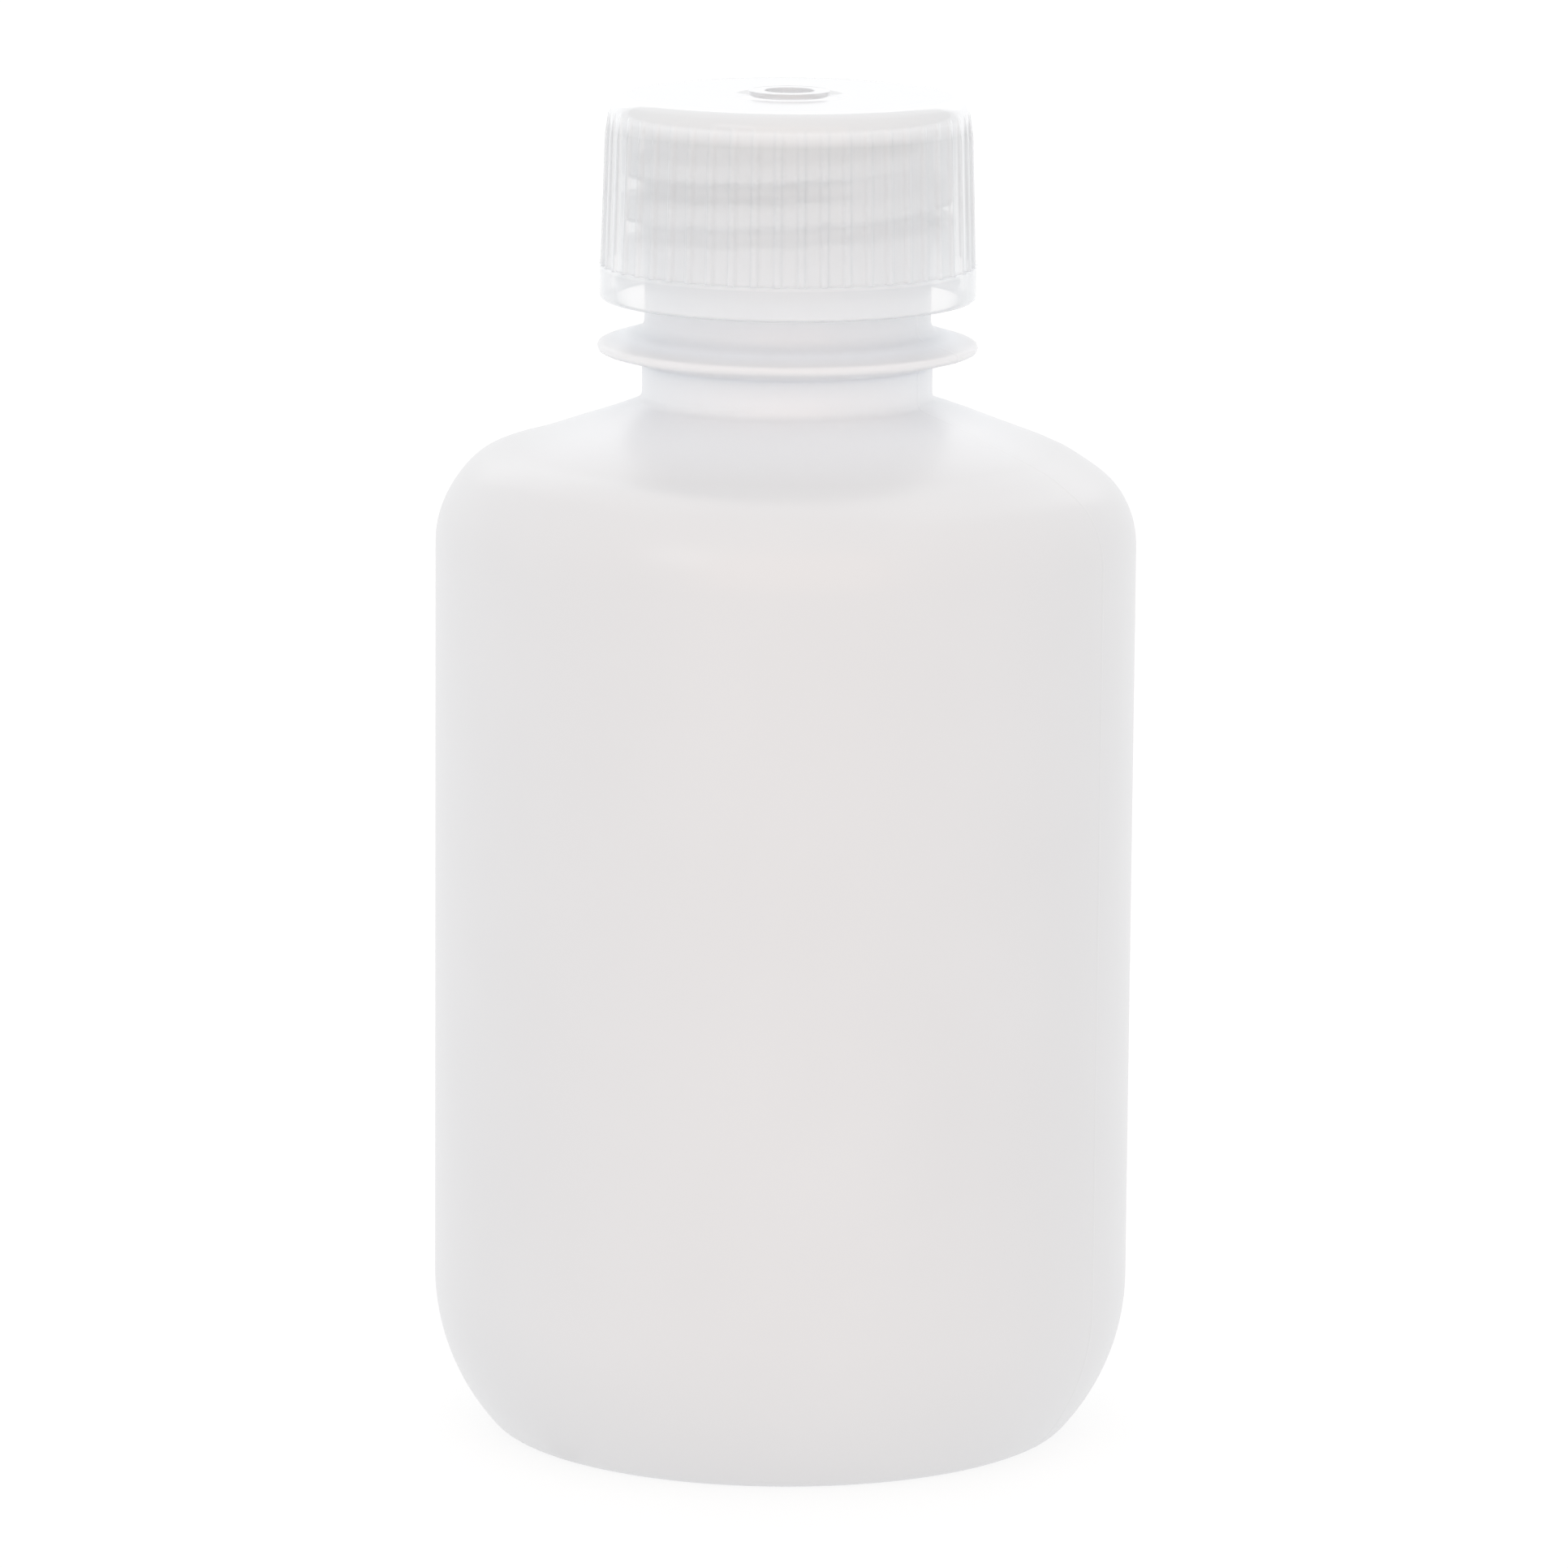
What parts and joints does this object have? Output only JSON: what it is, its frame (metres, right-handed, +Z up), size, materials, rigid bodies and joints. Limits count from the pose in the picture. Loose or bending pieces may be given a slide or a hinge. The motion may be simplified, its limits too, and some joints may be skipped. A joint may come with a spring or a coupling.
{
  "type": "reagent bottle",
  "caption": "Round narrow-mouth laboratory bottle in milky plastic with a flanged neck and a ribbed translucent screw cap.",
  "frame": {"origin": "centre of the foot, on the plane the bottle stands on", "axes": "+Z up along the bottle's axis through the mouth; -Y is the front"},
  "size_m": [0.051, 0.051, 0.0986],
  "materials": {
    "milky_hdpe": "blow-moulded, semi-gloss, milky translucent",
    "natural_pp": "injection-moulded, glossy, translucent",
    "foam_pe": "closed-cell foam, matt"
  },
  "bodies": {
    "bottle": {"bottle": "milky_hdpe"},
    "sealing_disc": {"sealing_disc": "foam_pe"},
    "cap": {"screw_cap": "natural_pp"}
  },
  "joints": [
    {"name": "cap_rise", "type": "slide", "parent": "bottle", "child": "sealing_disc", "axis": [0, 0, 1], "range_m": [0, 0.0159]},
    {"name": "cap_unscrew", "type": "hinge", "parent": "sealing_disc", "child": "cap", "pos_m": [0, 0, 0.09], "axis": [0, 0, 1], "range_deg": [0, 1800]}
  ],
  "couplings": [
    {"joint": "cap_rise", "follows": "cap_unscrew", "m_per_rad": 0.00050532}
  ]
}
